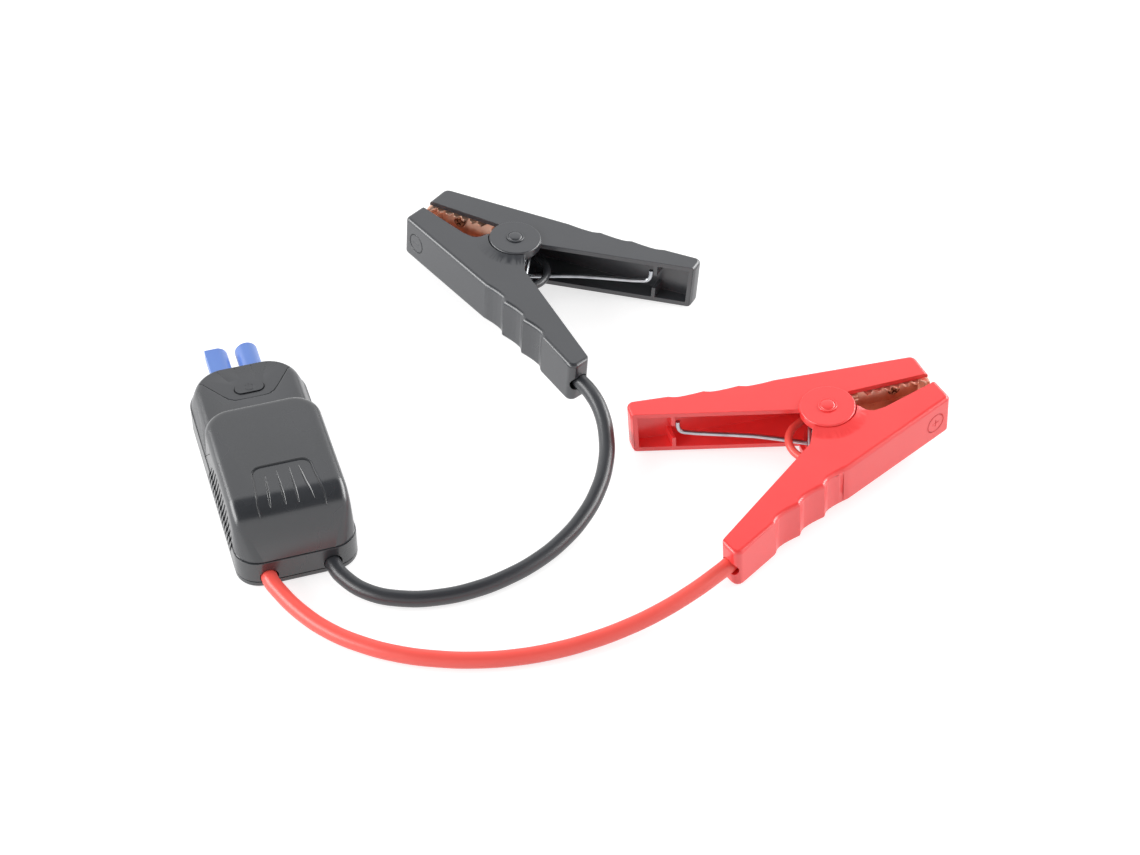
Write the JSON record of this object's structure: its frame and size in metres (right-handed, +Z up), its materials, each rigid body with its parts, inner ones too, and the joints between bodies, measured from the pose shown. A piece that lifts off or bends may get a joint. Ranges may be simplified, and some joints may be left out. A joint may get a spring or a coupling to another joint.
{
  "type": "smart jumper cable set of a jump starter",
  "caption": "Control box with a two-pole battery plug, a boost button and two short battery cables that end in spring clamps with copper jaws.",
  "frame": {"origin": "centre of the control box's flat underside, on the surface it lies on", "axes": "+Y along the control box towards its plug, +X to the side the clamps lie on, +Z up out of the surface"},
  "size_m": [0.2828, 0.2491, 0.031],
  "materials": {
    "shell_black": "fine satin texture",
    "button_black": "satin",
    "clamp_black": "fine satin texture",
    "clamp_red": "fine satin texture",
    "plug_blue": "fine matt texture",
    "copper": "plain copper, lightly worn",
    "steel": "plated",
    "contact_gold": "bright plated",
    "board_green": "solder mask",
    "relay_black": "moulded",
    "capacitor_blue": "sleeve",
    "switch_black": "moulded",
    "saddle_grey": "moulded",
    "cable_red": "silicone, satin",
    "cable_black": "silicone, satin"
  },
  "bodies": {
    "set": {"top_shell": "shell_black", "lower_shell": "shell_black", "bottom_cover": "shell_black", "case_screws": "steel", "tact_switch": "switch_black", "circuit_board": "board_green", "relays": "relay_black", "capacitor": "capacitor_blue", "cable_saddle": "saddle_grey", "plug_housing": "plug_blue", "plug_contacts": "contact_gold", "red_cable": "cable_red", "black_cable": "cable_black", "red_inner_handle": "clamp_red", "red_inner_jaw": "copper", "red_inner_jaw_screw": "steel", "red_spring": "steel", "red_pivot_pin": "clamp_red", "red_pin_cap": "clamp_red", "red_link_lead": "cable_red", "black_inner_handle": "clamp_black", "black_inner_jaw": "copper", "black_inner_jaw_screw": "steel", "black_spring": "steel", "black_pivot_pin": "clamp_black", "black_pin_cap": "clamp_black", "black_link_lead": "cable_black"},
    "button": {"boost_button": "button_black"},
    "red_free_half": {"red_outer_handle": "clamp_red", "red_outer_jaw": "copper", "red_outer_jaw_screw": "steel"},
    "black_free_half": {"black_outer_handle": "clamp_black", "black_outer_jaw": "copper", "black_outer_jaw_screw": "steel"}
  },
  "joints": [
    {"name": "boost_press", "type": "slide", "parent": "set", "child": "button", "axis": [0, 0, -1], "range_m": [0, 0.0005], "stiffness_N_per_m": 1500, "springref_m": -0.001},
    {"name": "red_clamp_open", "type": "hinge", "parent": "set", "child": "red_free_half", "pos_m": [0.2119, -0.0487, 0.0151], "axis": [-0.0717, -0.0219, 0.9972], "range_deg": [0, 40], "stiffness_Nm_per_rad": 1.2, "springref_deg": -57.3, "deforming": ["red_spring", "red_link_lead"]},
    {"name": "black_clamp_open", "type": "hinge", "parent": "set", "child": "black_free_half", "pos_m": [0.1244, 0.087, 0.0151], "axis": [-0.0645, 0, -0.9979], "range_deg": [0, 40], "stiffness_Nm_per_rad": 1.2, "springref_deg": -57.3, "deforming": ["black_spring", "black_link_lead"]}
  ]
}
